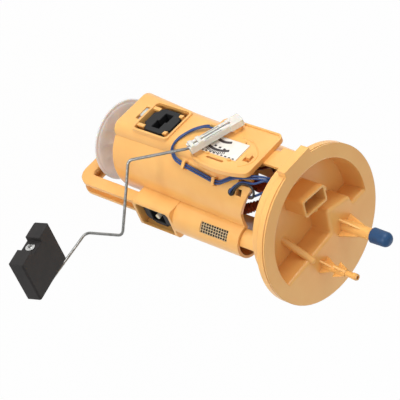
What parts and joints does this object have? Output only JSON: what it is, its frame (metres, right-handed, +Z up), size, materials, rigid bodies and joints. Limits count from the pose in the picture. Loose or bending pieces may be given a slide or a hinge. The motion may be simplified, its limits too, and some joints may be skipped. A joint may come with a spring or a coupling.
{
  "type": "fuel pump module",
  "caption": "In-tank fuel pump module: moulded flange with ports and connector, pump in a reservoir pot on rubber mounts, strainer in a guard, and a level sender with a float arm.",
  "frame": {"origin": "centre of the flange rim's underside, the face that seats on the tank's opening", "axes": "+Z up along the module towards the ports, sender side facing -Y, float towards +X"},
  "size_m": [0.2339, 0.133, 0.292],
  "materials": {
    "peach_pom": "matte moulded acetal",
    "cream_pom": "satin translucent acetal",
    "black_rubber": "matte",
    "black_foam": "fine closed-cell foam",
    "brown_tube": "satin polyamide",
    "blue_lead": "satin insulation",
    "red_lead": "satin insulation",
    "blue_cap": "satin",
    "zinc_steel": "zinc plated",
    "steel_wire": "drawn wire",
    "bright_steel": "bright",
    "tin_pin": "tinned",
    "brass_leaf": "rolled leaf",
    "white_ceramic": "fired ceramic card",
    "dark_track": "printed resistor ink",
    "dark_mesh": "fine woven screen",
    "strainer_cloth": "fine white filter cloth"
  },
  "bodies": {
    "module": {"flange_cap": "peach_pom", "connector_pins": "tin_pin", "reservoir_pot": "peach_pom", "gallery_screen": "dark_mesh", "floor_valve": "black_rubber", "pump_carrier": "cream_pom", "deck_mount": "black_rubber", "side_mount": "black_rubber", "rear_mount": "black_rubber", "pump_case": "zinc_steel", "pump_inlet_cover": "cream_pom", "pump_outlet_cover": "cream_pom", "strainer_disc": "strainer_cloth", "strainer_neck": "cream_pom", "strainer_guard": "peach_pom", "sender_tray": "peach_pom", "resistor_card": "white_ceramic", "resistor_tracks": "dark_track", "pivot_pin": "steel_wire", "feed_hose": "brown_tube", "return_hose": "brown_tube", "jet_pump": "cream_pom", "sender_leads": "blue_lead", "pump_leads": "red_lead"},
    "arm": {"wiper_carrier": "cream_pom", "wiper_contact": "brass_leaf", "float_wire": "steel_wire", "push_nut": "bright_steel"},
    "float_body": {"float": "black_foam"},
    "cap_body": {"port_cap": "blue_cap"}
  },
  "joints": [
    {"name": "arm_hinge", "type": "hinge", "parent": "module", "child": "arm", "pos_m": [-0.025, -0.05, -0.082], "axis": [0, -1, 0], "range_deg": [0, 46]},
    {"name": "float_swivel", "type": "hinge", "parent": "arm", "child": "float_body", "pos_m": [0.145, -0.03, -0.161], "axis": [0, -1, 0], "range_deg": [-60, 60]},
    {"name": "cap_pull", "type": "slide", "parent": "module", "child": "cap_body", "axis": [0, 0, 1], "range_m": [0, 0.024]}
  ]
}
